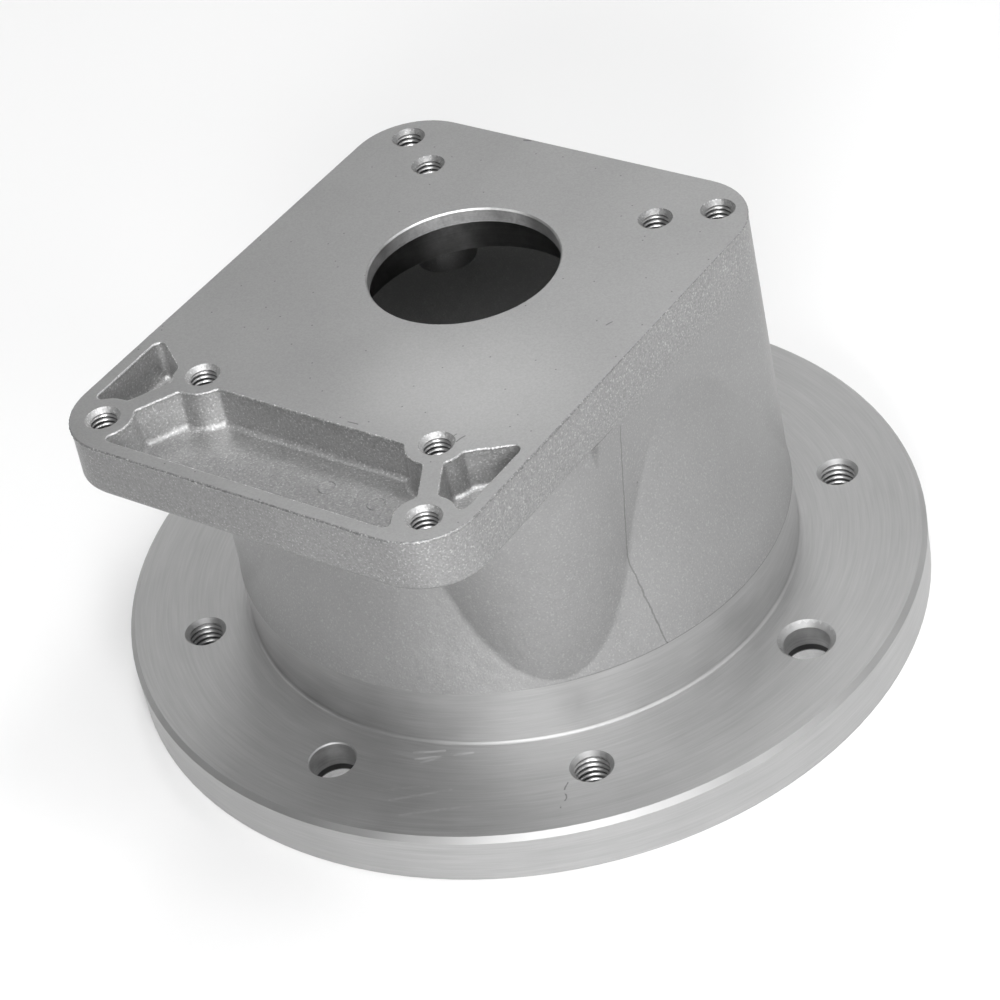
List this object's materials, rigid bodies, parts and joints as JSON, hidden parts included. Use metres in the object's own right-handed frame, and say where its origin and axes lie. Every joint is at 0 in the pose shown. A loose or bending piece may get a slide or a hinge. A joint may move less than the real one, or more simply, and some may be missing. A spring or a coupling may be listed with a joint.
{
  "type": "bell housing",
  "caption": "Cast aluminium bell housing that joins a gear pump to an electric motor: round motor flange, cone-shaped bell and an overhanging rectangular pump plate with a pilot bore.",
  "frame": {"origin": "on the bore axis, in the machined motor face of the round flange", "axes": "+Z along the bore axis from the motor face to the pump plate, -Y towards the overhanging end of the pump plate, X across the plain sides"},
  "size_m": [0.16, 0.16, 0.08],
  "materials": {
    "cast_aluminium": "fine die-cast grain with turned and milled faces"
  },
  "bodies": {
    "root": {"bell_housing": "cast_aluminium"}
  },
  "joints": []
}
